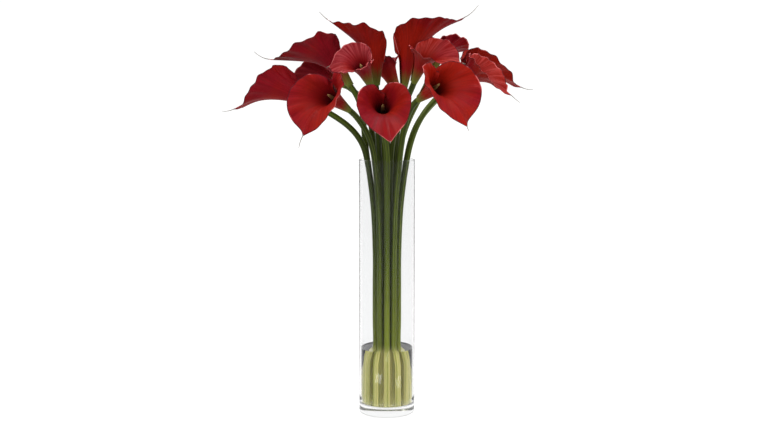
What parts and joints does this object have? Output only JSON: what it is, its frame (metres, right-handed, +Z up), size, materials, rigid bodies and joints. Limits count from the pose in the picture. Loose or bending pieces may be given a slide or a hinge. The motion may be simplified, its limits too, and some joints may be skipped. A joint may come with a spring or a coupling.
{
  "type": "calla lilies in a glass vase",
  "caption": "Red calla lilies on bare green stems, spread out above a tall clear glass cylinder vase with water in the bottom.",
  "frame": {"origin": "middle of the underside of the vase's foot, where it stands on the table", "axes": "+Z up along the vase's axis, +X toward the right of the arrangement, -Y toward its front"},
  "size_m": [0.5577, 0.3963, 0.7321],
  "materials": {
    "vase_glass": "clear polished glass",
    "water": "clear still water, faintly yellow-green from the stems",
    "stem": "smooth waxy green stem, paler toward the cut end",
    "spathe": "satin deep red petal-like sheet, green where it meets the stem",
    "spadix": "fine grainy pale yellow"
  },
  "bodies": {
    "root": {"vase": "vase_glass", "water": "water", "stem_far_left": "stem", "spathe_far_left": "spathe", "spadix_far_left": "spadix", "stem_left_front": "stem", "spathe_left_front": "spathe", "spadix_left_front": "spadix", "stem_left_high": "stem", "spathe_left_high": "spathe", "spadix_left_high": "spadix", "stem_centre_left": "stem", "spathe_centre_left": "spathe", "spadix_centre_left": "spadix", "stem_top_left": "stem", "spathe_top_left": "spathe", "spadix_top_left": "spadix", "stem_front": "stem", "spathe_front": "spathe", "spadix_front": "spadix", "stem_top_right": "stem", "spathe_top_right": "spathe", "spadix_top_right": "spadix", "stem_behind_centre": "stem", "spathe_behind_centre": "spathe", "spadix_behind_centre": "spadix", "stem_right_middle": "stem", "spathe_right_middle": "spathe", "spadix_right_middle": "spadix", "stem_right_back": "stem", "spathe_right_back": "spathe", "spadix_right_back": "spadix", "stem_far_right": "stem", "spathe_far_right": "spathe", "spadix_far_right": "spadix", "stem_right_low": "stem", "spathe_right_low": "spathe", "spadix_right_low": "spadix", "stem_right_front": "stem", "spathe_right_front": "spathe", "spadix_right_front": "spadix", "stem_left_back": "stem", "spathe_left_back": "spathe", "spadix_left_back": "spadix"}
  },
  "joints": []
}
